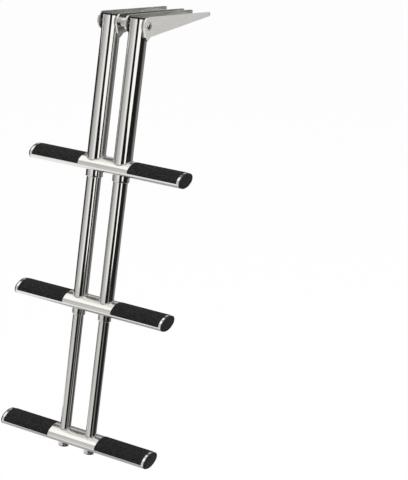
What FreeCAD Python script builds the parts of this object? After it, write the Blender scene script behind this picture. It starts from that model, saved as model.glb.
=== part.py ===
import FreeCAD, Part
import math
import os

# Telescopic dive ladder with three treads, at full length, as it hangs from the edge of a boat's platform.
# Two bolted arms lie on the platform, and the ladder turns on the two bolts at their front ends.
# Millimetres. X runs along the treads, Y towards the boat, Z up.
# The origin is on the underside of the deck plate, at its centre.

# Ladder
LEAN = 12.4
TUBE_GAP = 53.4
TREAD_PITCH = 242.0
PIVOT_TO_FIRST_TREAD = 238.5
TUBE_WALL = 1.5
TUBE_DIAMETERS = (32.0, 25.0, 19.0)
TUBE_ABOVE_PIVOT = 9.5

# Guides where one tube slides in the next
SLIDE_CLEARANCE = 0.1
SLEEVE_FIT = 0.2
SLEEVE_TOP = 16.0
COLLAR_WALL = 2.0
COLLAR_BELOW_TREAD = 11.0
GUIDE_RING_HEIGHT = 12.0
REST_GAP = 0.3

# Treads
TREAD_LENGTH = 302.0
TREAD_LONG_HALF = 21.5
TREAD_SHORT_HALF = 12.3
TREAD_END_RADIUS = 8.5
TREAD_TILT = 14.0
TREAD_WALL = 3.0
PAD_EDGE_HEIGHT = 0.5
PAD_DEPTH = 1.5
PAD_PROUD = 0.5
PAD_INNER_END = 49.0
TREAD_END_RIM = 4.0
CAP_THICKNESS = 2.5
CAP_CHAMFER = 1.2
CAP_PLUG_DEPTH = 12.0

# Feet and tube plugs
FOOT_BELOW_TREAD = 9.0
FOOT_PLUG_HEIGHT = 2.5
FOOT_PLUG_CHAMFER = 1.2
TOP_PLUG_RISE = 2.0
TOP_PLUG_DEPTH = 2.5

# Bracket arms
PIVOT_HEIGHT = 18.8
ARM_SIDE_GAP = 0.5
CHEEK_THICKNESS = 3.0
ARM_HEAD_RADIUS = 14.8
ARM_HEAD_LOW_ANGLE = 235.0
ARM_REACH = 205.0
ARM_TIP_RADIUS = 3.6
ARM_TIP_HOLE = 3.6
CHIN_DROP = 5.7
CHIN_FORWARD = 4.2
CHIN_FRONT_FORWARD = 10.8
CHIN_FRONT_DROP = 16.8
CHIN_BACK = 5.4

# Webs, deck plate and spacers
WEB_TOP_BELOW_PIVOT = 7.3
WEB_THICKNESS = 3.0
WEB_START = 24.0
WEB_END = 160.0
PLATE_THICKNESS = 4.0
PLATE_START = 40.0
PLATE_END = 156.0
FIXING_PITCH = 84.0
REAR_FIXING = 140.0
FIXING_HOLE = 9.0
SPACER_DIAMETER = 16.0

# Pivot bolts, centre spacer and stops
BOLT_DIAMETER = 8.0
BOLT_CLEARANCE = 0.1
BOLT_HEAD_DIAMETER = 11.0
BOLT_HEAD_HEIGHT = 3.0
CENTRE_SPACER_DIAMETER = 18.0
STOP_RADIUS = 3.0
STOP_SWEEP_CLEARANCE = 1.0

ORIGIN_BEHIND_PIVOT = (PLATE_START + PLATE_END) / 2.0
PIVOT = FreeCAD.Vector(0.0, -ORIGIN_BEHIND_PIVOT, PIVOT_HEIGHT)
TUBE_X = {"left": -TUBE_GAP / 2.0, "right": TUBE_GAP / 2.0}
TREAD_Z = [-PIVOT_TO_FIRST_TREAD - i * TREAD_PITCH for i in range(3)]
SECTIONS = ("upper", "middle", "lower")
CHEEK_INNER = TUBE_DIAMETERS[0] / 2.0 + ARM_SIDE_GAP
CHEEK_OUTER = CHEEK_INNER + CHEEK_THICKNESS
ALONG_X = FreeCAD.Vector(1.0, 0.0, 0.0)
ORIGIN = FreeCAD.Vector(0.0, 0.0, 0.0)
FAR = 400.0
TOUCH = 0.01


def vec(x, y, z):
    return FreeCAD.Vector(x, y, z)


def save(name, shape):
    shape.exportStep("parts/" + name + ".step")


def hang(shape):
    # Ladder pieces are drawn upright with the pivot at the origin, then leaned and carried to the pivot.
    placed = shape.copy()
    placed.rotate(ORIGIN, ALONG_X, -LEAN)
    placed.translate(PIVOT)
    return placed


def upright(radius, x, bottom, top):
    return Part.makeCylinder(radius, top - bottom, vec(x, 0.0, bottom))


def cross_bar(radius, start_x, end_x, y, z):
    return Part.makeCylinder(radius, end_x - start_x, vec(start_x, y, z), ALONG_X)


def highest(shape):
    return max(shape.Solids, key=lambda solid: solid.CenterOfMass.z)


def lowest(shape):
    return min(shape.Solids, key=lambda solid: solid.CenterOfMass.z)


# Oval tread section

def section_point(along, above, x, z):
    # A point of the tread's section, along its width and above its middle, tilted with the front edge low.
    tilt = math.radians(TREAD_TILT)
    y = along * math.cos(tilt) - above * math.sin(tilt)
    return vec(x, y, z + along * math.sin(tilt) + above * math.cos(tilt))


def flat_arc_radius(long_half, short_half, end_radius):
    # The radius of the two flat arcs that meet the end arcs smoothly.
    centre = long_half - end_radius
    return (centre ** 2 + short_half ** 2 - end_radius ** 2) / (2.0 * (short_half - end_radius))


def oval_bar(start_x, end_x, grow, z):
    # The tread's oval of four arcs, grown all round by the given amount and drawn out along X.
    long_half = TREAD_LONG_HALF + grow
    short_half = TREAD_SHORT_HALF + grow
    end_radius = TREAD_END_RADIUS + grow
    centre = long_half - end_radius
    flat_radius = flat_arc_radius(long_half, short_half, end_radius)
    share = end_radius / (flat_radius - end_radius)
    along = centre + centre * share
    above = (flat_radius - short_half) * share
    turning = [(long_half, 0.0), (along, above), (0.0, short_half), (-along, above)]
    turning += [(-p, -q) for p, q in turning]
    spots = [section_point(p, q, start_x, z) for p, q in turning]
    arcs = [Part.Arc(spots[i - 1], spots[i], spots[i + 1]).toShape() for i in (0, 2, 4, 6)]
    return Part.Face(Part.Wire(arcs)).extrude(vec(end_x - start_x, 0.0, 0.0))


def tread_drop():
    # How far the tilted oval reaches below its middle, on its flat lower arc.
    flat_radius = flat_arc_radius(TREAD_LONG_HALF, TREAD_SHORT_HALF, TREAD_END_RADIUS)
    return flat_radius - (flat_radius - TREAD_SHORT_HALF) * math.cos(math.radians(TREAD_TILT))


def tread_core(start_x, end_x, z):
    # The hollow inside a tread.
    return oval_bar(start_x, end_x, -TREAD_WALL, z)


def pad_shell(side, z, proud):
    # The upper half of the tread's skin between the pad's ends, from the groove's floor to a proud height.
    inner = PAD_INNER_END
    outer = TREAD_LENGTH / 2.0 - CAP_THICKNESS - TREAD_END_RIM
    start, end = (-outer, -inner) if side == "left" else (inner, outer)
    skin = oval_bar(start, end, proud, z).cut(oval_bar(start, end, -PAD_DEPTH, z))
    above = Part.makeBox(end - start, FAR, FAR, vec(start, -FAR / 2.0, PAD_EDGE_HEIGHT))
    above.rotate(ORIGIN, ALONG_X, TREAD_TILT)
    above.translate(vec(0.0, 0.0, z))
    return skin.common(above)


def make_tread(index):
    z = TREAD_Z[index]
    half = TREAD_LENGTH / 2.0 - CAP_THICKNESS
    tread = oval_bar(-half, half, 0.0, z)
    tread = tread.cut(tread_core(-half, half, z))
    for side in ("left", "right"):
        tread = tread.cut(pad_shell(side, z, 2.0 * PAD_PROUD))
    if index < 2:
        for x in TUBE_X.values():
            tread = tread.cut(upright(sleeve_radius(index) + SLEEVE_FIT, x, z - FAR, z + FAR))
    return tread


def make_pad(index, side):
    return pad_shell(side, TREAD_Z[index], PAD_PROUD)


def make_cap(index, side):
    z = TREAD_Z[index]
    half = TREAD_LENGTH / 2.0
    inner = half - CAP_THICKNESS
    depth = inner - CAP_PLUG_DEPTH
    if side == "left":
        face = oval_bar(-half, -inner, 0.0, z)
        plug = tread_core(-inner, -depth, z)
        face_x = -half
    else:
        face = oval_bar(inner, half, 0.0, z)
        plug = tread_core(depth, inner, z)
        face_x = half
    near = [edge for edge in face.Edges if abs(edge.CenterOfMass.x - face_x) < TOUCH]
    face = face.makeChamfer(CAP_CHAMFER, near)
    return face.fuse(plug).removeSplitter()


# Tubes, guides and collars

def tube_radius(index):
    return TUBE_DIAMETERS[index] / 2.0


def bore_radius(index):
    return tube_radius(index) - TUBE_WALL


def sleeve_radius(index):
    return bore_radius(index) - SLEEVE_FIT


def guide_ring_bottom(index):
    # The ring at a sliding tube's top rests just above the sleeve that guides it.
    return TREAD_Z[index - 1] + SLEEVE_TOP + REST_GAP


def tube_top(index):
    if index == 0:
        return TUBE_ABOVE_PIVOT
    return guide_ring_bottom(index) + GUIDE_RING_HEIGHT


def make_tube(index, side):
    x = TUBE_X[side]
    z = TREAD_Z[index]
    top = tube_top(index)
    tube = upright(tube_radius(index), x, z - TREAD_LONG_HALF, top)
    if index > 0:
        tube = tube.fuse(upright(sleeve_radius(index - 1), x, guide_ring_bottom(index), top))
    tube = tube.cut(upright(bore_radius(index), x, z - FAR, top + FAR))
    tube = highest(tube.cut(oval_bar(-TREAD_LENGTH, TREAD_LENGTH, 0.0, z)))
    if index == 0:
        tube = tube.cut(cross_bar(BOLT_DIAMETER / 2.0 + BOLT_CLEARANCE, x - FAR, x + FAR, 0.0, 0.0))
    return tube


def make_top_plug(side):
    x = TUBE_X[side]
    top = TUBE_ABOVE_PIVOT
    plug = upright(bore_radius(0), x, top - TOP_PLUG_DEPTH, top)
    lid = upright(tube_radius(0) - TUBE_WALL, x, top, top + TOP_PLUG_RISE)
    rim = [edge for edge in lid.Edges if edge.BoundBox.ZMin > top + TOP_PLUG_RISE - TOUCH]
    lid = lid.makeChamfer(CAP_CHAMFER, rim)
    return plug.fuse(lid).removeSplitter()


def make_collar(index, side):
    # A ring under the tread with a sleeve through it, in which the next tube slides.
    x = TUBE_X[side]
    z = TREAD_Z[index]
    bore = tube_radius(index + 1) + SLIDE_CLEARANCE
    bottom = z - tread_drop() - COLLAR_BELOW_TREAD
    ring = upright(bore + COLLAR_WALL, x, bottom, z)
    ring = lowest(ring.cut(oval_bar(-TREAD_LENGTH, TREAD_LENGTH, 0.0, z)))
    sleeve = upright(sleeve_radius(index), x, bottom, z + SLEEVE_TOP)
    collar = ring.fuse(sleeve)
    return collar.cut(upright(bore, x, bottom - FAR, z + FAR)).removeSplitter()


def foot_bottom():
    return TREAD_Z[2] - tread_drop() - FOOT_BELOW_TREAD


def make_foot(side):
    # The end of the lowest tube, which stands out below the tread.
    x = TUBE_X[side]
    z = TREAD_Z[2]
    bottom = foot_bottom() + FOOT_PLUG_HEIGHT
    foot = upright(tube_radius(2), x, bottom, z).cut(upright(bore_radius(2), x, bottom, z))
    return lowest(foot.cut(oval_bar(-TREAD_LENGTH, TREAD_LENGTH, 0.0, z)))


def make_foot_plug(side):
    x = TUBE_X[side]
    bottom = foot_bottom()
    top = bottom + FOOT_PLUG_HEIGHT
    lid = upright(tube_radius(2), x, bottom, top)
    rim = [edge for edge in lid.Edges if edge.BoundBox.ZMax < bottom + TOUCH]
    lid = lid.makeChamfer(FOOT_PLUG_CHAMFER, rim)
    return lid.fuse(upright(bore_radius(2), x, top, top + TOP_PLUG_DEPTH)).removeSplitter()


# Bracket

def in_arm(y, z):
    # Arm points are given from the pivot.
    return vec(0.0, PIVOT.y + y, PIVOT.z + z)


def arm_outline(with_chin):
    head = ARM_HEAD_RADIUS
    tip = ARM_TIP_RADIUS
    deck = -PIVOT_HEIGHT
    tip_y = ARM_REACH - tip
    tip_z = deck + tip
    # The top edge is the line that touches both the head's arc and the tip's arc.
    span = math.hypot(tip_y, tip_z)
    normal = math.pi / 2.0 + math.atan2(tip_z, tip_y) - math.asin((head - tip) / span)
    head_top = in_arm(head * math.cos(normal), head * math.sin(normal))
    tip_top = in_arm(tip_y + tip * math.cos(normal), tip_z + tip * math.sin(normal))
    head_front = in_arm(-head, 0.0)
    middle = (normal + math.pi) / 2.0
    head_mid = in_arm(head * math.cos(middle), head * math.sin(middle))
    tip_end = in_arm(tip_y + tip, tip_z)
    tip_bottom = in_arm(tip_y, deck)
    edges = [
        Part.Arc(tip_bottom, tip_end, tip_top).toShape(),
        Part.LineSegment(tip_top, head_top).toShape(),
        Part.Arc(head_top, head_mid, head_front).toShape(),
    ]
    if with_chin:
        corners = [
            head_front,
            in_arm(-CHIN_FRONT_FORWARD, -CHIN_FRONT_DROP),
            in_arm(-CHIN_FORWARD, deck - CHIN_DROP),
            in_arm(CHIN_BACK, deck),
            tip_bottom,
        ]
    else:
        low = math.radians(ARM_HEAD_LOW_ANGLE)
        low_middle = (math.pi + low) / 2.0
        head_low = in_arm(head * math.cos(low), head * math.sin(low))
        through = in_arm(head * math.cos(low_middle), head * math.sin(low_middle))
        edges.append(Part.Arc(head_front, through, head_low).toShape())
        corners = [head_low, in_arm(CHIN_BACK, deck), tip_bottom]
    for start, end in zip(corners, corners[1:]):
        edges.append(Part.LineSegment(start, end).toShape())
    return Part.Wire(edges)


def deck_plate_block():
    width = TUBE_GAP + 2.0 * CHEEK_INNER
    corner = in_arm(PLATE_START, -PIVOT_HEIGHT) - vec(width / 2.0, 0.0, 0.0)
    return Part.makeBox(width, PLATE_END - PLATE_START, PLATE_THICKNESS, corner)


def stop_centre():
    # The stop bar touches the back of the tube and clears the tube's top end as the ladder swings.
    across = tube_radius(0) + REST_GAP + STOP_RADIUS
    sweep = math.hypot(tube_radius(0), TUBE_ABOVE_PIVOT)
    reach = sweep + STOP_SWEEP_CLEARANCE + STOP_RADIUS
    along = math.sqrt(reach ** 2 - across ** 2)
    lean = math.radians(LEAN)
    y = -along * math.sin(lean) + across * math.cos(lean)
    z = -along * math.cos(lean) - across * math.sin(lean)
    return in_arm(y, z)


def make_cheek(bracket, cheek):
    outline = Part.Face(arm_outline(cheek == "right"))
    offset = CHEEK_INNER if cheek == "right" else -CHEEK_OUTER
    outline.translate(vec(TUBE_X[bracket] + offset, 0.0, 0.0))
    plate = outline.extrude(vec(CHEEK_THICKNESS, 0.0, 0.0))
    plate = plate.cut(deck_plate_block())
    tip = in_arm(ARM_REACH - ARM_TIP_RADIUS, ARM_TIP_RADIUS - PIVOT_HEIGHT)
    plate = plate.cut(cross_bar(ARM_TIP_HOLE / 2.0, -FAR, FAR, tip.y, tip.z))
    return plate.cut(cross_bar(BOLT_DIAMETER / 2.0, -FAR, FAR, PIVOT.y, PIVOT.z))


def fixing_points(bracket):
    for y in (REAR_FIXING - FIXING_PITCH, REAR_FIXING):
        yield in_arm(y, -PIVOT_HEIGHT) + vec(TUBE_X[bracket], 0.0, 0.0)


def drill_fixings(shape, brackets):
    for bracket in brackets:
        for point in fixing_points(bracket):
            shape = shape.cut(Part.makeCylinder(FIXING_HOLE / 2.0, FAR, point - vec(0.0, 0.0, FAR / 2.0)))
    return shape


def make_web(bracket):
    bottom = -WEB_TOP_BELOW_PIVOT - WEB_THICKNESS
    corner = in_arm(WEB_START, bottom) + vec(TUBE_X[bracket] - CHEEK_INNER, 0.0, 0.0)
    web = Part.makeBox(2.0 * CHEEK_INNER, WEB_END - WEB_START, WEB_THICKNESS, corner)
    return drill_fixings(web, [bracket])


def make_deck_plate():
    return drill_fixings(deck_plate_block(), ("left", "right"))


def make_spacers(bracket):
    height = PIVOT_HEIGHT - PLATE_THICKNESS - WEB_TOP_BELOW_PIVOT - WEB_THICKNESS
    tubes = []
    for point in fixing_points(bracket):
        base = point + vec(0.0, 0.0, PLATE_THICKNESS)
        tube = Part.makeCylinder(SPACER_DIAMETER / 2.0, height, base)
        tubes.append(tube.cut(Part.makeCylinder(FIXING_HOLE / 2.0, height, base)))
    return Part.makeCompound(tubes)


def make_stop(bracket):
    centre = stop_centre()
    x = TUBE_X[bracket]
    return cross_bar(STOP_RADIUS, x - CHEEK_INNER, x + CHEEK_INNER, centre.y, centre.z)


def make_pivot_bolt(bracket):
    x = TUBE_X[bracket]
    shank = cross_bar(BOLT_DIAMETER / 2.0, x - CHEEK_OUTER, x + CHEEK_OUTER, PIVOT.y, PIVOT.z)
    side = 1.0 if bracket == "right" else -1.0
    seat = vec(x + side * CHEEK_OUTER, PIVOT.y, PIVOT.z)
    head = Part.makeCylinder(BOLT_HEAD_DIAMETER / 2.0, BOLT_HEAD_HEIGHT, seat, ALONG_X * side)
    crown = CHEEK_OUTER + BOLT_HEAD_HEIGHT - TOUCH
    rim = [edge for edge in head.Edges if abs(edge.CenterOfMass.x - x) > crown]
    head = head.makeChamfer(BOLT_HEAD_HEIGHT / 2.0, rim)
    return shank.fuse(head).removeSplitter()


def make_centre_spacer():
    half = TUBE_GAP / 2.0 - CHEEK_OUTER
    return cross_bar(CENTRE_SPACER_DIAMETER / 2.0, -half, half, PIVOT.y, PIVOT.z)


def build_bracket():
    save("deck_plate", make_deck_plate())
    save("centre_spacer", make_centre_spacer())
    for bracket in ("left", "right"):
        for cheek in ("left", "right"):
            save(bracket + "_arm_" + cheek + "_cheek", make_cheek(bracket, cheek))
        save(bracket + "_arm_web", make_web(bracket))
        save(bracket + "_arm_spacers", make_spacers(bracket))
        save(bracket + "_stop_bar", make_stop(bracket))
        save(bracket + "_pivot_bolt", make_pivot_bolt(bracket))


def build_section(index):
    section = SECTIONS[index]
    save(section + "_tread", hang(make_tread(index)))
    for side in ("left", "right"):
        save(section + "_" + side + "_tube", hang(make_tube(index, side)))
        save(section + "_" + side + "_pad", hang(make_pad(index, side)))
        save(section + "_" + side + "_end_cap", hang(make_cap(index, side)))
        if index < 2:
            save(section + "_" + side + "_collar", hang(make_collar(index, side)))
        else:
            save(section + "_" + side + "_foot", hang(make_foot(side)))
            save(section + "_" + side + "_foot_plug", hang(make_foot_plug(side)))
        if index == 0:
            save(section + "_" + side + "_plug", hang(make_top_plug(side)))


def main():
    os.makedirs("parts", exist_ok=True)
    build_bracket()
    for index in range(3):
        build_section(index)


main()
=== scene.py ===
import math

import bmesh
import bpy
from mathutils import Matrix, Vector


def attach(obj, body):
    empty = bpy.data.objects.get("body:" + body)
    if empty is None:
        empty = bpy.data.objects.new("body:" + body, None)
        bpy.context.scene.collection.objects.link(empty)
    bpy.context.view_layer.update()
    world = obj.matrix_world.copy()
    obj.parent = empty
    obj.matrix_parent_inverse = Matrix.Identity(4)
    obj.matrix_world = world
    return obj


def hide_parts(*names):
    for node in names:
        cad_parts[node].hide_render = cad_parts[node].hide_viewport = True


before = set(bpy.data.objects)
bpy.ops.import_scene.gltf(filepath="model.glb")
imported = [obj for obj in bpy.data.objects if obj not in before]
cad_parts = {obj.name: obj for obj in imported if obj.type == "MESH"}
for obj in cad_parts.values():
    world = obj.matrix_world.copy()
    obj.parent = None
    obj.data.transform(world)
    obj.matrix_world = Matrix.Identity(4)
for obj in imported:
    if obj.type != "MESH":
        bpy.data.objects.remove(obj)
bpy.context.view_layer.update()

print("frame loaded with", len(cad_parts), "nodes")

# The ladder's own frame: the pivot at its origin, Z up the tubes. Lengths in metres; treadLong and treadShort
# are halves of the oval section.
ladder = {
    "lean": math.radians(12.4),
    "pivot": Vector((0.0, -0.098, 0.0188)),
    "treadHeights": {"upper": -0.2385, "middle": -0.4805, "lower": -0.7225},
    "treadTilt": math.radians(14.0),
    "treadLong": 0.0215,
    "treadShort": 0.0123,
    "treadEndRadius": 0.0085,
    "tubeX": {"left": -0.0267, "right": 0.0267},
    "tubeRadius": {"upper": 0.016, "middle": 0.0125, "lower": 0.0095},
}
sideSign = {"left": -1.0, "right": 1.0}


def hang(point):
    return Matrix.Rotation(-ladder["lean"], 3, "X") @ Vector(point) + ladder["pivot"]


def onTread(section, x, along, above):
    # a point in the tread's own section, along its long axis and above it
    tilt = ladder["treadTilt"]
    y = along * math.cos(tilt) - above * math.sin(tilt)
    z = along * math.sin(tilt) + above * math.cos(tilt)
    return hang((x, y, z + ladder["treadHeights"][section]))


def ovalArcs():
    # the oval is four arcs: how far out the end arcs are centred, the flat arcs' radius, and how far down
    # those are centred
    middle = ladder["treadLong"] - ladder["treadEndRadius"]
    end, short = ladder["treadEndRadius"], ladder["treadShort"]
    flat = (middle ** 2 + short ** 2 - end ** 2) / (2.0 * (short - end))
    return middle, flat, flat - short


def ovalAt(turn, grow):
    # the point of the grown oval that faces this angle from straight up, towards the back of the tread
    middle, flat, drop = ovalArcs()
    c, s = math.cos(turn), math.sin(turn)
    if abs(s) * drop < abs(c) * middle:
        return (flat + grow) * s, (flat + grow) * c - math.copysign(drop, c)
    end = ladder["treadEndRadius"] + grow
    return math.copysign(middle, s) + end * s, end * c


def ovalTop(along):
    middle, flat, drop = ovalArcs()
    if abs(along) * drop < math.sqrt(max(flat ** 2 - along ** 2, 0.0)) * middle:
        return math.sqrt(flat ** 2 - along ** 2) - drop
    return math.sqrt(max(ladder["treadEndRadius"] ** 2 - (abs(along) - middle) ** 2, 0.0))


topSearch = {"highest": 0.03, "halvings": 40}


def treadTop(section, y):
    # height of the oval's upper side straight above y, found by halving
    c, s = math.cos(ladder["treadTilt"]), math.sin(ladder["treadTilt"])
    low, high = 0.0, topSearch["highest"]
    for halving in range(topSearch["halvings"]):
        z = 0.5 * (low + high)
        along, above = y * c + z * s, z * c - y * s
        inside = abs(along) < ladder["treadLong"] and above < ovalTop(along)
        low, high = (z, high) if inside else (low, z)
    return low + ladder["treadHeights"][section]


class Wire:
    # a node's output; + - and * with another wire or with a number add Math nodes
    def __init__(self, nodes, socket):
        self.nodes = nodes
        self.socket = socket

    def maths(self, operation, first, second):
        return self.nodes.add("ShaderNodeMath", {"operation": operation}, {0: first, 1: second})

    def __add__(self, other):
        return self.maths("ADD", self, other)

    def __radd__(self, other):
        return self.maths("ADD", other, self)

    def __sub__(self, other):
        return self.maths("SUBTRACT", self, other)

    def __rsub__(self, other):
        return self.maths("SUBTRACT", other, self)

    def __mul__(self, other):
        return self.maths("MULTIPLY", self, other)

    def __rmul__(self, other):
        return self.maths("MULTIPLY", other, self)


# the mix node has inputs and outputs for each kind of value; these are its colours'
mixColours = {"first": 6, "second": 7, "result": 2}


class Nodes:
    # the nodes of one material, or of the room
    def __init__(self, owner):
        self.owner = owner
        owner.use_nodes = True
        self.tree = owner.node_tree
        self.tree.nodes.clear()

    def add(self, kind, settings, sockets, output=0):
        # any node: its settings, a value or a wire for its inputs, and the output to go on from
        node = self.tree.nodes.new(kind)
        for setting, value in settings.items():
            setattr(node, setting, value)
        for name, value in sockets.items():
            if isinstance(value, Wire):
                self.tree.links.new(value.socket, node.inputs[name])
            else:
                node.inputs[name].default_value = value
        if node.outputs:
            return Wire(self, node.outputs[output])

    def noise(self, scale, turn=(0.0, 0.0, 0.0), detail=3.0, roughness=0.5):
        # noise over the object's own coordinates, turned and stretched
        spot = self.place(scale, turn)
        sockets = {"Vector": spot, "Scale": 1.0, "Detail": detail, "Roughness": roughness}
        return self.add("ShaderNodeTexNoise", {}, sockets, "Fac")

    def place(self, scale, turn=(0.0, 0.0, 0.0)):
        spot = self.add("ShaderNodeTexCoord", {}, {}, "Object")
        return self.add("ShaderNodeMapping", {}, {"Vector": spot, "Rotation": turn, "Scale": scale})

    def blend(self, factor, first, second):
        first, second = (*first, 1.0), (*second, 1.0)
        sockets = {"Factor": factor, mixColours["first"]: first, mixColours["second"]: second}
        return self.add("ShaderNodeMix", {"data_type": "RGBA"}, sockets, mixColours["result"])

    def bump(self, height, strength, distance):
        sockets = {"Height": height, "Strength": strength, "Distance": distance}
        return self.add("ShaderNodeBump", {}, sockets, "Normal")

    def surface(self, sockets):
        shader = self.add("ShaderNodeBsdfPrincipled", {}, sockets)
        self.add("ShaderNodeOutputMaterial", {}, {"Surface": shader})
        return self.owner


def newFinish(name):
    return Nodes(bpy.data.materials.new(name))


polish = {
    "lineDetail": 4.0,
    "lineRoughness": 0.6,
    "patches": (26.0, 26.0, 26.0),
    "patchDetail": 2.0,
    "patchShade": 0.93,
    "bump": 0.02,
    "bumpDepth": 0.0002,
}


def polished(name, grain, turn=(0.0, 0.0, 0.0), colour=(0.80, 0.79, 0.775), rough=0.035, spread=0.06):
    # bright buffed stainless: faint polishing lines along the piece and a few duller patches
    nodes = newFinish(name)
    lines = nodes.noise(grain, turn, polish["lineDetail"], polish["lineRoughness"])
    patches = nodes.noise(polish["patches"], detail=polish["patchDetail"])
    return nodes.surface({
        "Base Color": nodes.blend(patches, colour, tuple(polish["patchShade"] * c for c in colour)),
        "Roughness": lines * spread * patches + rough,
        "Normal": nodes.bump(lines, polish["bump"], polish["bumpDepth"]),
        "Metallic": 1.0,
    })


brushing = {
    "lineDetail": 4.0,
    "lineRoughness": 0.65,
    "patches": (18.0, 18.0, 18.0),
    "patchDetail": 2.0,
    "patchSpread": 0.06,
    "bump": 0.035,
    "bumpDepth": 0.0002,
}


def brushed(nodes, grain):
    # brush lines and duller patches
    lines = nodes.noise(grain, detail=brushing["lineDetail"], roughness=brushing["lineRoughness"])
    return lines, nodes.noise(brushing["patches"], detail=brushing["patchDetail"])


satin = {"lineShade": 0.90, "lineSpread": 0.12, "rough": 0.24, "metal": 0.9}


def satinSteel(name, grain, colour):
    nodes = newFinish(name)
    lines, patches = brushed(nodes, grain)
    return nodes.surface({
        "Base Color": nodes.blend(lines, colour, tuple(satin["lineShade"] * c for c in colour)),
        "Roughness": lines * satin["lineSpread"] + patches * brushing["patchSpread"] + satin["rough"],
        "Normal": nodes.bump(lines, brushing["bump"], brushing["bumpDepth"]),
        "Metallic": satin["metal"],
    })


cheek = {
    # faces further out than this from the ladder's middle are the outer ones
    "outerFrom": 0.0457,
    # the same steel in two colours: painted shade on the inner faces, painted light on the outer faces
    "shadedInnerColour": (0.68, 0.675, 0.66),
    "litOuterColour": (0.88, 0.87, 0.85),
    "lineShade": 0.30,
    "lineSpread": 0.10,
    "rough": 0.13,
    "outerRougher": 0.08,
    "metal": 0.95,
    "outerLessMetal": 0.50,
}


def cheekSteel(name, grain):
    # brushed on the two outer faces of the bracket and smoother on its other faces; the outer faces are
    # painted lighter as painted light and the other faces darker as painted shade between the cheeks
    nodes = newFinish(name)
    lines, patches = brushed(nodes, grain)
    spot = nodes.add("ShaderNodeTexCoord", {}, {}, "Object")
    across = nodes.add("ShaderNodeSeparateXYZ", {}, {"Vector": spot}, "X")
    sides = {0: across * across, 1: cheek["outerFrom"] ** 2}
    outside = nodes.add("ShaderNodeMath", {"operation": "GREATER_THAN"}, sides)
    # painted light and shade: the outer faces lighter, the others darker
    light = outside * (1.0 - lines * cheek["lineShade"])
    rough = lines * cheek["lineSpread"] + patches * brushing["patchSpread"]
    return nodes.surface({
        "Base Color": nodes.blend(light, cheek["shadedInnerColour"], cheek["litOuterColour"]),
        "Roughness": rough + outside * cheek["outerRougher"] + cheek["rough"],
        "Normal": nodes.bump(lines, brushing["bump"], brushing["bumpDepth"]),
        "Metallic": cheek["metal"] - outside * cheek["outerLessMetal"],
    })


rubber = {
    "pebbles": (900.0, 900.0, 900.0),
    "speckPatches": (340.0, 340.0, 340.0),
    "speckPatchRoughness": 0.6,
    "speckContrast": 3.2,
    "speckDrop": 1.1,
    "darkColour": (0.002, 0.002, 0.002),
    # the colour of the painted highlight specks on the pebble tops
    "highlightSpeckColour": (0.034, 0.034, 0.035),
    "rough": 0.86,
    "pebbleSmoother": 0.20,
    "bump": 0.75,
    "bumpDepth": 0.0006,
    "shine": 0.22,
}


def gripRubber(name):
    # moulded pad: fine pebbles about a millimetre apart, their tops in random patches painted a little
    # lighter as painted highlight specks
    nodes = newFinish(name)
    spot = nodes.place(rubber["pebbles"])
    cells = nodes.add("ShaderNodeTexVoronoi", {"feature": "F1"}, {"Vector": spot, "Scale": 1.0}, "Distance")
    speckPatches = nodes.noise(rubber["speckPatches"], roughness=rubber["speckPatchRoughness"])
    # painted highlight: pebble tops lighter in random patches
    speckHighlight = speckPatches * rubber["speckContrast"] - rubber["speckDrop"]
    pebble = 1.0 - cells
    return nodes.surface({
        "Base Color": nodes.blend(pebble * speckHighlight, rubber["darkColour"], rubber["highlightSpeckColour"]),
        "Roughness": rubber["rough"] - pebble * rubber["pebbleSmoother"],
        "Normal": nodes.bump(pebble, rubber["bump"], rubber["bumpDepth"]),
        "Metallic": 0.0,
        "Specular IOR Level": rubber["shine"],
    })


moulding = {
    "fine": (700.0, 700.0, 700.0),
    "wide": (60.0, 60.0, 60.0),
    "wideDetail": 2.0,
    "darkColour": (0.008, 0.008, 0.008),
    "lightColour": (0.018, 0.018, 0.019),
    "spread": 0.16,
    "bump": 0.20,
    "bumpDepth": 0.0002,
}


def mouldedBlack(name, rough, shine):
    nodes = newFinish(name)
    fine = nodes.noise(moulding["fine"])
    wide = nodes.noise(moulding["wide"], detail=moulding["wideDetail"])
    return nodes.surface({
        "Base Color": nodes.blend(wide, moulding["darkColour"], moulding["lightColour"]),
        "Roughness": rough + wide * moulding["spread"],
        "Normal": nodes.bump(fine, moulding["bump"], moulding["bumpDepth"]),
        "Metallic": 0.0,
        "Specular IOR Level": shine,
    })


alongTube = (ladder["lean"], 0.0, 0.0)
finishes = {
    "tube": polished("tubeSteel", (420.0, 420.0, 9.0), alongTube),
    "tread": polished("treadSteel", (8.0, 420.0, 420.0), colour=(0.82, 0.81, 0.79), rough=0.15, spread=0.14),
    "foot": polished("footSteel", (160.0, 160.0, 160.0), rough=0.30, spread=0.10),
    "fitting": polished("fittingSteel", (160.0, 160.0, 160.0), rough=0.10, spread=0.10),
    "sleeve": polished("sleeveSteel", (160.0, 160.0, 160.0), rough=0.06, spread=0.08),
    # the spacer's darker steel colour is a painted shade between the cheeks
    "spacer": polished("spacerSteel", (420.0, 160.0, 160.0), colour=(0.62, 0.61, 0.59), rough=0.03),
    "arm": cheekSteel("armSteel", (500.0, 9.0, 500.0)),
    # the web's darker steel colour is a painted shade between the cheeks
    "web": satinSteel("webSteel", (500.0, 9.0, 500.0), colour=(0.60, 0.595, 0.58)),
    # the deck plate's dark colour is a painted shade, so the gap between the cheeks looks dark
    "plate": satinSteel("plateSteel", (9.0, 500.0, 500.0), colour=(0.24, 0.238, 0.23)),
    "weld": polished("weldSteel", (300.0, 300.0, 300.0), colour=(0.62, 0.61, 0.59), rough=0.22, spread=0.20),
    "pad": gripRubber("gripRubber"),
    "black": mouldedBlack("mouldedBlack", rough=0.40, shine=0.40),
    "lid": mouldedBlack("dullBlack", rough=0.62, shine=0.10),
}


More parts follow.
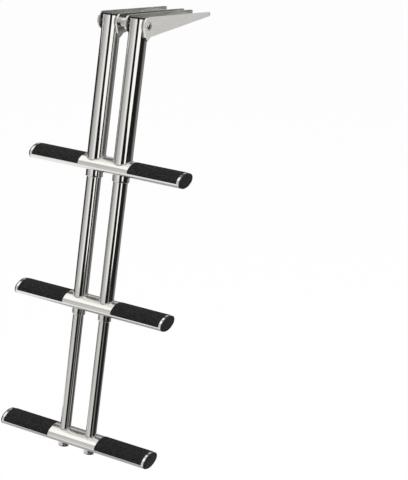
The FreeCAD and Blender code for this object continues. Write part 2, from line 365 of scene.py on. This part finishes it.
finishEndings = {
    "_tube": "tube",
    "_foot": "foot",
    "_tread": "tread",
    "_pad": "pad",
    "_end_cap": "black",
    "_plug": "black",
    "deck_plate": "plate",
    "_web": "web",
    "_spacer": "spacer",
    "_spacers": "spacer",
    "_cheek": "arm",
}


def finishFor(node):
    for ending, finish in finishEndings.items():
        if node.endswith(ending):
            return finish
    return "fitting"


def paint(piece, finish):
    piece.data.materials.clear()
    piece.data.materials.append(finishes[finish])


for node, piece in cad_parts.items():
    if not piece.material_slots:
        piece.data.materials.append(finishes[finishFor(node)])
    for spot in piece.material_slots:
        spot.material = finishes[finishFor(node)]
print("finishes set on the nodes")


mergeDistance = 1e-7


def pieceFrom(name, points, faces, finish, body):
    mesh = bpy.data.meshes.new(name)
    mesh.from_pydata([tuple(p) for p in points], [], faces)
    build = bmesh.new()
    build.from_mesh(mesh)
    bmesh.ops.remove_doubles(build, verts=build.verts, dist=mergeDistance)
    bmesh.ops.recalc_face_normals(build, faces=build.faces)
    build.to_mesh(mesh)
    build.free()
    for face in mesh.polygons:
        face.use_smooth = True
    piece = bpy.data.objects.new(name, mesh)
    bpy.context.scene.collection.objects.link(piece)
    paint(piece, finish)
    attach(piece, body)
    return piece


def sharpOver(piece, degrees):
    # keeps corners crisp while the rest is shaded round
    piece.data.set_sharp_from_angle(angle=math.radians(degrees))


def gridFaces(rows, columns, closedRows=False, closedColumns=False):
    faces = []
    for i in range(rows if closedRows else rows - 1):
        for j in range(columns if closedColumns else columns - 1):
            a, b = i * columns + j, i * columns + (j + 1) % columns
            c, d = ((i + 1) % rows) * columns + (j + 1) % columns, ((i + 1) % rows) * columns + j
            faces.append((a, b, c, d))
    return faces


def ringFaces(rows, steps, closed=False):
    # a stack of rings, with both ends covered where it doesn't close on itself
    faces = gridFaces(rows, steps, closedRows=closed, closedColumns=True)
    if not closed:
        last = (rows - 1) * steps
        faces.append(tuple(range(steps)))
        faces.append(tuple(last + k for k in range(steps)))
    return faces


pad = {
    "inner": 0.049,
    "outer": 0.1445,
    "edgeHeight": 0.0005,
    "depth": 0.0015,
    "proud": 0.0005,
    "easing": 0.0010,
    "columns": 150,
    "rows": 44,
    "sharp": 50.0,
}


def gripPad(section, side):
    # a shell over the tread's upper half, proud of its groove and eased down at the edges
    lastTurn = math.acos(pad["edgeHeight"] / (ladder["treadEndRadius"] + pad["proud"]))
    length = pad["outer"] - pad["inner"]
    sign = sideSign[side]
    rim = [ovalAt(lastTurn * (2.0 * k / pad["rows"] - 1.0), pad["proud"]) for k in range(pad["rows"] + 1)]
    points = []
    for i in range(pad["columns"] + 1):
        x = length * (0.5 - 0.5 * math.cos(math.pi * i / pad["columns"]))
        for j in range(pad["rows"] + 1):
            turn = lastTurn * math.sin(math.pi * (j / pad["rows"] - 0.5))
            fromSide = math.dist(ovalAt(turn, pad["proud"]), rim[0 if turn < 0.0 else -1])
            near = min(x, length - x, fromSide, pad["easing"])
            dip = pad["easing"] - math.sqrt(pad["easing"] ** 2 - (pad["easing"] - near) ** 2)
            points.append(onTread(section, sign * (pad["inner"] + x), *ovalAt(turn, pad["proud"] - dip)))
        for j in range(pad["rows"] + 1):
            turn = lastTurn * math.sin(math.pi * (0.5 - j / pad["rows"]))
            points.append(onTread(section, sign * (pad["inner"] + x), *ovalAt(turn, -pad["depth"])))
    ring = 2 * (pad["rows"] + 1)
    faces = gridFaces(pad["columns"] + 1, ring, closedColumns=True)
    last = pad["columns"] * ring
    for j in range(pad["rows"]):
        across = (j, j + 1, ring - 2 - j, ring - 1 - j)
        faces.append(across)
        faces.append(tuple(last + k for k in reversed(across)))
    name = section + side.capitalize() + "GripPad"
    piece = pieceFrom(name, points, faces, "pad", section + "_section")
    sharpOver(piece, pad["sharp"])
    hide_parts(section + "_" + side + "_pad")


cap = {
    "end": 0.151,
    # how far in from the rim, and how far back from the face
    "profile": (
        (0.0, 0.0025), (0.0, 0.0013), (0.00015, 0.00075), (0.0005, 0.00028), (0.0010, 0.00006),
        (0.0016, 0.0), (0.0024, 0.0), (0.0027, 0.0002), (0.0029, 0.0005), (0.0033, 0.0005),
        (0.0035, 0.0002), (0.0038, 0.0001), (0.0046, 0.00005),
    ),
    "steps": 96,
    "sharp": 60.0,
}


def endCap(section, side):
    sign = sideSign[side]
    points = []
    for inward, back in cap["profile"]:
        for k in range(cap["steps"]):
            outline = ovalAt(2.0 * math.pi * k / cap["steps"], -inward)
            points.append(onTread(section, sign * (cap["end"] - back), *outline))
    faces = ringFaces(len(cap["profile"]), cap["steps"])
    name = section + side.capitalize() + "EndCap"
    piece = pieceFrom(name, points, faces, "black", section + "_section")
    sharpOver(piece, cap["sharp"])
    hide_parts(section + "_" + side + "_end_cap")


bead = {
    "radius": 0.0011,
    "ripple": 0.16,
    "pitch": 0.0016,
    "around": 10,
    "endSize": 0.3,
    "tubeSteps": 360,
    "webSteps": 420,
}


def weldBead(name, path, closed, body):
    # a rippled run of weld along a path
    count = len(path)
    spans = count if closed else count - 1
    length = sum((path[(k + 1) % count] - path[k]).length for k in range(spans))
    waves = round(length / bead["pitch"])
    points = []
    for k, spot in enumerate(path):
        before = path[(k - 1) % count] if closed or k else spot
        after = path[(k + 1) % count] if closed or k < count - 1 else spot
        ahead = (after - before).normalized()
        side = ahead.orthogonal().normalized()
        up = ahead.cross(side)
        swell = 1.0 + bead["ripple"] * math.sin(2.0 * math.pi * waves * k / spans)
        size = 1.0 if closed or 0 < k < count - 1 else bead["endSize"]
        for j in range(bead["around"]):
            t = 2.0 * math.pi * j / bead["around"]
            points.append(spot + (side * math.cos(t) + up * math.sin(t)) * bead["radius"] * swell * size)
    faces = gridFaces(count, bead["around"], closedRows=closed, closedColumns=True)
    if not closed:
        last = (count - 1) * bead["around"]
        faces.append(tuple(range(bead["around"])))
        faces.append(tuple(last + j for j in reversed(range(bead["around"]))))
    pieceFrom(name, points, faces, "weld", body)


def tubeWeld(section, side):
    x0, radius = ladder["tubeX"][side], ladder["tubeRadius"][section]
    path = []
    for k in range(bead["tubeSteps"]):
        t = 2.0 * math.pi * k / bead["tubeSteps"]
        y = radius * math.sin(t)
        path.append(hang((x0 + radius * math.cos(t), y, treadTop(section, y))))
    weldBead(section + side.capitalize() + "TubeWeld", path, True, section + "_section")


arm = {
    "inner": 0.0165,
    "outer": 0.0195,
    "webTop": -0.0073,
    "webStart": 0.025,
    "webEnd": 0.1585,
}


def webWeld(bracket, side):
    sign = sideSign[side]
    x = ladder["tubeX"][bracket] + sign * arm["inner"]
    path = []
    for k in range(bead["webSteps"] + 1):
        y = arm["webStart"] + (arm["webEnd"] - arm["webStart"]) * k / bead["webSteps"]
        path.append(ladder["pivot"] + Vector((x, y, arm["webTop"])))
    weldBead(bracket + side.capitalize() + "WebWeld", path, False, "bracket")


pivotBolt = {
    "radius": 0.004,
    # the head outside the cheek: distance out from it, and radius
    "head": (
        (0.0, 0.0066), (0.0007, 0.0066), (0.00085, 0.0063), (0.00085, 0.0055), (0.0011, 0.0055),
        (0.0015, 0.0053), (0.0020, 0.0048), (0.0024, 0.0041), (0.0027, 0.0031), (0.0029, 0.0019),
        (0.0030, 0.0008),
    ),
    "steps": 64,
    "sharp": 35.0,
}


def domedBolt(bracket):
    # a washer and a domed head outside the outer cheek, on a plain shank across the arm
    sign = sideSign[bracket]
    x0 = ladder["tubeX"][bracket]
    shank = pivotBolt["radius"]
    profile = [(-2.0 * arm["outer"], shank), (0.0, shank)] + list(pivotBolt["head"])
    points = []
    for out, radius in profile:
        for k in range(pivotBolt["steps"]):
            t = 2.0 * math.pi * k / pivotBolt["steps"]
            spot = Vector((x0 + sign * (arm["outer"] + out), radius * math.cos(t), radius * math.sin(t)))
            points.append(ladder["pivot"] + spot)
    faces = ringFaces(len(profile), pivotBolt["steps"])
    piece = pieceFrom(bracket + "DomedBolt", points, faces, "fitting", "bracket")
    sharpOver(piece, pivotBolt["sharp"])
    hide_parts(bracket + "_pivot_bolt")


turning = {"steps": 96, "sharp": 40.0}


def turnedPiece(name, side, height, profile, finish, body, closed=False):
    # a profile of radius and height turned round a tube's axis
    steps = turning["steps"]
    points = []
    for radius, above in profile:
        for k in range(steps):
            t = 2.0 * math.pi * k / steps
            across = ladder["tubeX"][side] + radius * math.cos(t)
            points.append(hang((across, radius * math.sin(t), height + above)))
    piece = pieceFrom(name, points, ringFaces(len(profile), steps, closed), finish, body)
    sharpOver(piece, turning["sharp"])
    return piece


lid = {
    # radius, and height above the pivot
    "profile": (
        (0.0020, 0.0115), (0.0090, 0.0115), (0.0140, 0.0115), (0.0149, 0.01135), (0.0155, 0.0109),
        (0.01575, 0.0103), (0.0158, 0.00955), (0.0144, 0.00955), (0.0144, 0.0070),
    ),
}


def tubeLid(side):
    name = "upper" + side.capitalize() + "Lid"
    piece = turnedPiece(name, side, 0.0, lid["profile"], "lid", "upper_section")
    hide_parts("upper_" + side + "_plug")


sleeve = {
    "bore": {"upper": 0.0126, "middle": 0.0096},
    "guide": {"upper": 0.0143, "middle": 0.0108},
    "wall": 0.0020,
    "top": 0.016,
    # where the rim meets the bore
    "rimHeight": -0.0236,
    # the ring's outside below the tread: how far in from its wall, and height
    "ring": (
        (0.0, -0.0060), (0.0, -0.0180), (0.0005, -0.0183), (0.0005, -0.0192), (0.0, -0.0195), (0.0, -0.0228),
        (0.0002, -0.0234), (0.0006, -0.0238), (0.0011, -0.0239), (0.0016, -0.0239),
    ),
}


def tubeSleeve(section, side):
    # the collar that the next tube slides in, with a groove above its rounded rim
    bore, guide = sleeve["bore"][section], sleeve["guide"][section]
    profile = [(bore, sleeve["top"]), (guide, sleeve["top"]), (guide, sleeve["ring"][0][1])]
    profile += [(bore + sleeve["wall"] - inward, height) for inward, height in sleeve["ring"]]
    profile.append((bore, sleeve["rimHeight"]))
    name, body = section + side.capitalize() + "Sleeve", section + "_section"
    height = ladder["treadHeights"][section]
    piece = turnedPiece(name, side, height, profile, "sleeve", body, closed=True)
    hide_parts(section + "_" + side + "_collar")


foot = {
    # radius and height from the tread's middle, of the steel end and of its plug
    "end": ((0.0095, -0.0060), (0.0095, -0.0204), (0.0093, -0.0206), (0.0080, -0.0206), (0.0080, -0.0060)),
    "plug": (
        (0.0078, -0.0190), (0.0078, -0.0207), (0.0092, -0.0207), (0.0093, -0.0212), (0.0088, -0.0217),
        (0.0078, -0.02185),
    ),
}


def tubeFoot(side):
    height, body = ladder["treadHeights"]["lower"], "lower_section"
    name = "lower" + side.capitalize() + "Foot"
    end = turnedPiece(name + "End", side, height, foot["end"], "foot", body, closed=True)
    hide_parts("lower_" + side + "_foot")
    plug = turnedPiece(name + "Plug", side, height, foot["plug"], "black", body)
    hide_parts("lower_" + side + "_foot_plug")


for side in sideSign:
    tubeLid(side)
    tubeSleeve("upper", side)
    tubeSleeve("middle", side)
    tubeFoot(side)
for section in ladder["treadHeights"]:
    for side in sideSign:
        gripPad(section, side)
        endCap(section, side)
        tubeWeld(section, side)
for bracket in sideSign:
    for side in sideSign:
        webWeld(bracket, side)
    domedBolt(bracket)
print("lids, collars, feet, pads, end caps, bolts and welds made")


studio = {
    "floorHeight": -1.25,
    "floorHalf": 8.0,
    "floorTone": (0.92, 0.92, 0.92, 1.0),
    # the share of the floor that is seen as plain white; the rest takes light and shadow
    "floorWhite": 0.94,
    "roomTone": (0.74, 0.735, 0.72, 1.0),
    "cardTone": (1.0, 0.99, 0.97, 1.0),
    "cardSteps": 24,
    # each card has a brightness and rows: distance, height, then first and last azimuth from the camera, in
    # degrees to its right; a card's lowest row may lie on the floor
    "cards": (
        ("leftEdgeCard", 0.02, ((2.3, -1.23, -175, -110), (2.3, -0.1, -175, -110))),
        ("leftBackCard", 0.60, ((2.3, -0.1, -175, -135), (2.3, 0.65, -175, -135))),
        ("leftHighCard", 0.10, ((2.3, 0.65, -175, -110), (2.3, 2.15, -175, -110))),
        ("leftFarCard", 0.24, ((2.3, -1.23, -110, -95), (2.3, 2.15, -110, -95))),
        ("leftSideCard", 0.52, ((2.3, -1.23, -95, -78), (2.3, 2.15, -95, -78))),
        ("leftNearCard", 0.60, ((2.3, -1.23, -78, -62), (2.3, 2.15, -78, -62))),
        ("leftMiddleCard", 0.72, ((2.3, -1.23, -62, -46), (2.3, 2.15, -62, -46))),
        ("darkCard", 0.015, ((0.5, -1.23, -46, 90), (2.3, -1.23, -46, 90), (2.3, 2.15, -46, 90))),
        ("leftPanel", 1.00, (
            (2.2, -0.46, -46, -20), (2.2, -0.25, -46, -18), (2.2, 0.0, -46, -22), (2.2, 2.15, -46, -22),
        )),
        ("leftLowPanel", 0.72, ((2.2, -1.22, -46, -18), (2.2, -0.46, -46, -20))),
        ("softPanel", 1.25, (
            (2.2, -0.58, 18, 33), (2.2, -0.40, 17, 34), (2.2, -0.25, 15, 33), (2.2, -0.12, 15, 37),
            (2.2, -0.04, 11, 40), (2.2, 0.04, 6, 41), (2.2, 0.14, 5, 42), (2.2, 2.15, 5, 42),
        )),
        ("softLowPanel", 0.22, ((2.2, -1.22, 14, 34), (2.2, -0.58, 18, 33))),
        ("rightEdgeCard", 0.08, ((0.8, -1.23, 90, 106), (2.3, -1.23, 90, 106), (2.3, 2.15, 90, 106))),
        ("rightFarPanel", 0.26, ((0.8, -1.23, 106, 142), (2.3, -1.23, 106, 142), (2.3, 2.15, 106, 142))),
        ("rightLowCard", 0.20, ((0.8, -1.23, 142, 185), (2.3, -1.23, 142, 185), (2.3, -0.1, 142, 185))),
        ("rightBackCard", 0.60, ((2.3, -0.1, 142, 185), (2.3, 0.65, 142, 185))),
        ("rightHighCard", 0.10, ((2.3, 0.65, 142, 185), (2.3, 2.15, 142, 185))),
    ),
    # corners of the level sheets above and below, and brightness
    "sheets": (
        ("overheadPanel", (-2.4, -1.1), (2.4, 3.0), 1.9, 1.25),
        ("frontOverheadPanel", (-2.4, -3.2), (2.4, -1.1), 1.9, 0.58),
        ("underCard", (-0.6, -0.9), (0.6, 0.5), -1.22, 0.46),
    ),
}

white = (1.0, 1.0, 1.0, 1.0)


def seenRays(nodes):
    # 1 for a ray that is seen: straight from the camera, mirrored or let through
    ways = ("Is Camera Ray", "Is Glossy Ray", "Is Transmission Ray")
    direct, mirrored, through = [nodes.add("ShaderNodeLightPath", {}, {}, way) for way in ways]
    return direct + mirrored + through


def makeRoom():
    room = bpy.data.worlds.new("room")
    bpy.context.scene.world = room
    nodes = Nodes(room)
    lit = nodes.add("ShaderNodeBackground", {}, {"Color": studio["roomTone"], "Strength": 1.0})
    seen = nodes.add("ShaderNodeBackground", {}, {"Color": white, "Strength": 1.0})
    mixed = nodes.add("ShaderNodeMixShader", {}, {0: seenRays(nodes), 1: lit, 2: seen})
    nodes.add("ShaderNodeOutputWorld", {}, {"Surface": mixed})


def floorMaterial():
    nodes = newFinish("paleFloor")
    paper = nodes.add("ShaderNodeBsdfDiffuse", {}, {"Color": studio["floorTone"]})
    glow = nodes.add("ShaderNodeEmission", {}, {"Color": white, "Strength": 1.0})
    share = seenRays(nodes) * studio["floorWhite"]
    mixed = nodes.add("ShaderNodeMixShader", {}, {0: share, 1: paper, 2: glow})
    nodes.add("ShaderNodeOutputMaterial", {}, {"Surface": mixed})
    return nodes.owner


def cardMaterial(name, brightness):
    nodes = newFinish(name)
    glow = nodes.add("ShaderNodeEmission", {}, {"Color": studio["cardTone"], "Strength": brightness})
    nodes.add("ShaderNodeOutputMaterial", {}, {"Surface": glow})
    return nodes.owner


def stageSheet(name, corners, faces, material):
    mesh = bpy.data.meshes.new(name)
    mesh.from_pydata(list(corners), [], faces)
    sheet = bpy.data.objects.new(name, mesh)
    bpy.context.scene.collection.objects.link(sheet)
    sheet.data.materials.append(material)
    return sheet


# one face over the corners below
levelFace = [(0, 1, 3, 2)]


def levelCorners(near, far, height):
    return [(x, y, height) for y in (near[1], far[1]) for x in (near[0], far[0])]


makeRoom()
floorHalf = studio["floorHalf"]
floorCorners = levelCorners((-floorHalf, -floorHalf), (floorHalf, floorHalf), studio["floorHeight"])
stageSheet("floor", floorCorners, levelFace, floorMaterial())


camera = {
    "place": Vector((1.18623, -1.94541, 0.50484)),
    "right": Vector((0.869348, 0.493717, 0.021848)),
    "up": Vector((-0.199640, 0.310403, 0.929405)),
    "ahead": Vector((-0.452082, 0.812338, -0.368414)),
    "lens": 100.673,
    "sensor": 36.0,
    "farClip": 60.0,
}

toCamera = math.atan2(-camera["ahead"].y, -camera["ahead"].x)
hub = Vector((0.0, -0.17, -0.35))


def reflectedOnly(card):
    # stands round the ladder and shows only in its reflections
    card.visible_camera = False
    card.visible_diffuse = False
    card.visible_shadow = False
    card.visible_transmission = False


def cardCorners(rows):
    # a curved card, from its lowest row to its highest
    for distance, height, first, last in rows:
        for k in range(studio["cardSteps"] + 1):
            bearing = toCamera + math.radians(first + (last - first) * k / studio["cardSteps"])
            yield hub.x + math.cos(bearing) * distance, hub.y + math.sin(bearing) * distance, height


for name, brightness, rows in studio["cards"]:
    faces = gridFaces(len(rows), studio["cardSteps"] + 1)
    reflectedOnly(stageSheet(name, cardCorners(rows), faces, cardMaterial(name, brightness)))
for name, near, far, height, brightness in studio["sheets"]:
    corners = levelCorners(near, far, height)
    reflectedOnly(stageSheet(name, corners, levelFace, cardMaterial(name, brightness)))

lamps = {
    "keyLamp": {"place": (-1.6, -2.2, 1.9), "size": 1.6, "power": 42.0},
    "fillLamp": {"place": (2.4, -1.0, 1.2), "size": 1.8, "power": 18.0},
    "backLamp": {"place": (0.6, 2.2, 1.6), "size": 1.6, "power": 20.0},
}
for name, lamp in lamps.items():
    light = bpy.data.lights.new(name, "AREA")
    light.size = lamp["size"]
    light.energy = lamp["power"]
    thing = bpy.data.objects.new(name, light)
    bpy.context.scene.collection.objects.link(thing)
    thing.location = lamp["place"]
    thing.rotation_euler = (hub - thing.location).to_track_quat("-Z", "Y").to_euler()
    thing.visible_glossy = False

lens = bpy.data.cameras.new("camera")
lens.lens = camera["lens"]
lens.sensor_width = camera["sensor"]
lens.clip_end = camera["farClip"]
eye = bpy.data.objects.new("camera", lens)
bpy.context.scene.collection.objects.link(eye)
turned = Matrix((camera["right"], camera["up"], -camera["ahead"])).transposed().to_4x4()
eye.matrix_world = Matrix.Translation(camera["place"]) @ turned
bpy.context.scene.camera = eye
bpy.context.scene.view_settings.view_transform = "Standard"
print("studio and camera set")
